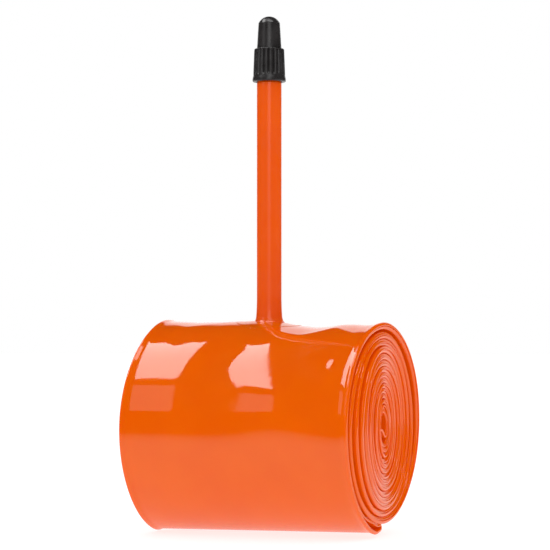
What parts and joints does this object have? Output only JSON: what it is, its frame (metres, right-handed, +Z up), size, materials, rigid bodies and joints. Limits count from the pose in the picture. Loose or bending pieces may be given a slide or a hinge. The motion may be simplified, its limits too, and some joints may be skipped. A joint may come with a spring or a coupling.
{
  "type": "bicycle inner tube",
  "caption": "Thermoplastic bicycle inner tube, flattened and rolled up, with a long smooth stem, removable needle valve core and ribbed dust cap.",
  "frame": {"origin": "on the floor, under the middle of the roll's length and width", "axes": "+X along the roll's axis, towards the end that the picture shows; +Y away from the viewer, across the roll; +Z up along the valve stem"},
  "size_m": [0.057, 0.0494, 0.1245],
  "materials": {
    "tube_film": "glossy",
    "stem_plastic": "semi-gloss",
    "cap_plastic": "satin",
    "brass": "satin",
    "nickel": "satin",
    "seal_rubber": "matt"
  },
  "bodies": {
    "tube": {"tube_roll": "tube_film", "valve_patch": "tube_film", "valve_stem": "stem_plastic", "stem_insert": "brass"},
    "core": {"core_body": "nickel", "core_seal": "seal_rubber"},
    "pin": {"core_pin": "brass", "pin_seal": "seal_rubber"},
    "nut": {"lock_nut": "nickel"},
    "cap": {"valve_cap": "cap_plastic"}
  },
  "joints": [
    {"name": "core_lift", "type": "slide", "parent": "tube", "child": "core", "axis": [0, 0, 1], "range_m": [0, 0.025]},
    {"name": "pin_press", "type": "slide", "parent": "core", "child": "pin", "axis": [0, 0, -1], "range_m": [0, 0.0014]},
    {"name": "nut_turn", "type": "hinge", "parent": "pin", "child": "nut", "pos_m": [-0.0008, 0, 0.1197], "axis": [0, 0, 1], "range_deg": [-1080, 180]},
    {"name": "cap_lift", "type": "slide", "parent": "core", "child": "cap", "axis": [0, 0, 1], "range_m": [0, 0.04]}
  ]
}
